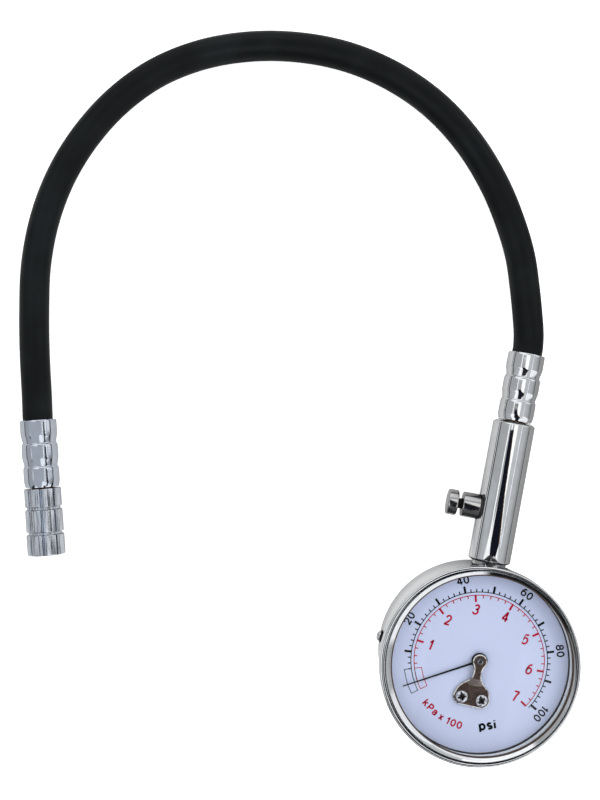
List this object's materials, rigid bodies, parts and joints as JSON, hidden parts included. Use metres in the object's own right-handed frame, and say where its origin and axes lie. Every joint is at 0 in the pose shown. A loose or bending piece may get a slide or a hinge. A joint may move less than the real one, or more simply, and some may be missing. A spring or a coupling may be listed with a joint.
{
  "type": "tire pressure gauge",
  "caption": "Dial tire pressure gauge with a chromed round case, bored stem with bleed button, black rubber hose and swivelling screw-on chuck.",
  "frame": {"origin": "centre of the flat back of the dial case, which lies on the surface", "axes": "+Z out of the dial, +Y from the dial along the stem towards the hose, +X to the dial's right"},
  "size_m": [0.1761, 0.1951, 0.0275],
  "materials": {
    "chrome": "polished chrome plate",
    "nickel": "dark nickel plate",
    "steel": "plain turned steel",
    "brass": "machined brass",
    "bronze": "dark bronze",
    "ring": "satin",
    "gasket": "brown rubber",
    "rubber": "black rubber",
    "black": "satin black paint",
    "dial": "printed enamel",
    "lens": "clear"
  },
  "bodies": {
    "gauge": {"base_screw_left": "steel", "base_screw_right": "steel", "bezel_ring": "chrome", "bleed_boss": "chrome", "bleed_boss_washer": "gasket", "bleed_spring": "steel", "bourdon_tube": "bronze", "bridge_bushing": "chrome", "bridge_screw_left": "chrome", "bridge_screw_right": "chrome", "case_can": "chrome", "case_screw_left": "chrome", "case_screw_right": "chrome", "case_screw_washer_left": "black", "case_screw_washer_right": "black", "check_valve_seat": "brass", "check_valve_spring": "steel", "chuck_seal": "rubber", "chuck_thrust_washer": "steel", "dial_plate": "dial", "dial_ring": "ring", "hairspring": "bronze", "hairspring_stud": "brass", "hose": "rubber", "hose_end_chuck": "rubber", "hose_end_stem": "rubber", "hose_ferrule_chuck": "chrome", "hose_ferrule_stem": "chrome", "hose_nipple_chuck": "brass", "hose_nipple_stem": "brass", "lens": "lens", "lens_gasket": "gasket", "movement_base": "brass", "pillar_left": "brass", "pillar_right": "brass", "pointer_bridge": "bronze", "sector_clip": "steel", "sector_post": "steel", "socket_block": "brass", "stem_body": "chrome", "valve_depressor": "brass"},
    "sector": {"sector_gear": "brass", "sector_pin": "steel"},
    "pointer": {"pointer_needle": "black", "pointer_arbor": "steel", "hairspring_collet": "brass"},
    "tube_tip": {"tube_tip_plug": "brass", "tip_pin": "steel"},
    "link": {"connecting_link": "steel"},
    "bleed_button": {"bleed_button": "nickel", "bleed_seal": "rubber"},
    "check_poppet": {"check_valve_poppet": "brass", "check_valve_seal": "rubber"},
    "chuck_collar": {"chuck_collar": "chrome"}
  },
  "joints": [
    {"name": "sector_pivot", "type": "hinge", "parent": "gauge", "child": "sector", "pos_m": [-0.01105, -0.00293, 0.0128], "axis": [0, 0, 1], "range_deg": [0, 26.67], "stiffness_Nm_per_rad": 0.02},
    {"name": "pointer_turn", "type": "hinge", "parent": "gauge", "child": "pointer", "pos_m": [0.00036, 0.0008, 0.0219], "axis": [0, 0, 1], "range_deg": [-240.1, 0], "deforming": ["hairspring"]},
    {"name": "tube_tip_travel", "type": "slide", "parent": "gauge", "child": "tube_tip", "axis": [-0.3936, -0.9193, 0], "range_m": [0, 0.00254], "deforming": ["bourdon_tube"]},
    {"name": "link_pivot", "type": "hinge", "parent": "tube_tip", "child": "link", "pos_m": [-0.01564, 0.00553, 0.0138], "axis": [0, 0, 1], "range_deg": [0, 7.43]},
    {"name": "bleed_press", "type": "slide", "parent": "gauge", "child": "bleed_button", "axis": [1, 0, 0], "range_m": [0, 0.0012], "stiffness_N_per_m": 3000, "springref_m": -0.001, "deforming": ["bleed_spring"]},
    {"name": "check_valve_lift", "type": "slide", "parent": "gauge", "child": "check_poppet", "axis": [0, -1, 0], "range_m": [0, 0.001], "stiffness_N_per_m": 300, "springref_m": -0.0005, "deforming": ["check_valve_spring"]},
    {"name": "chuck_spin", "type": "hinge", "parent": "gauge", "child": "chuck_collar", "pos_m": [-0.1348, 0.0435, 0.0056], "axis": [0.2439, -0.9698, 0], "continuous": true}
  ],
  "couplings": [
    {"joint": "pointer_turn", "follows": "sector_pivot", "ratio": -9},
    {"joint": "tube_tip_travel", "follows": "sector_pivot", "m_per_rad": 0.005456},
    {"joint": "link_pivot", "follows": "sector_pivot", "ratio": 0.27776}
  ]
}
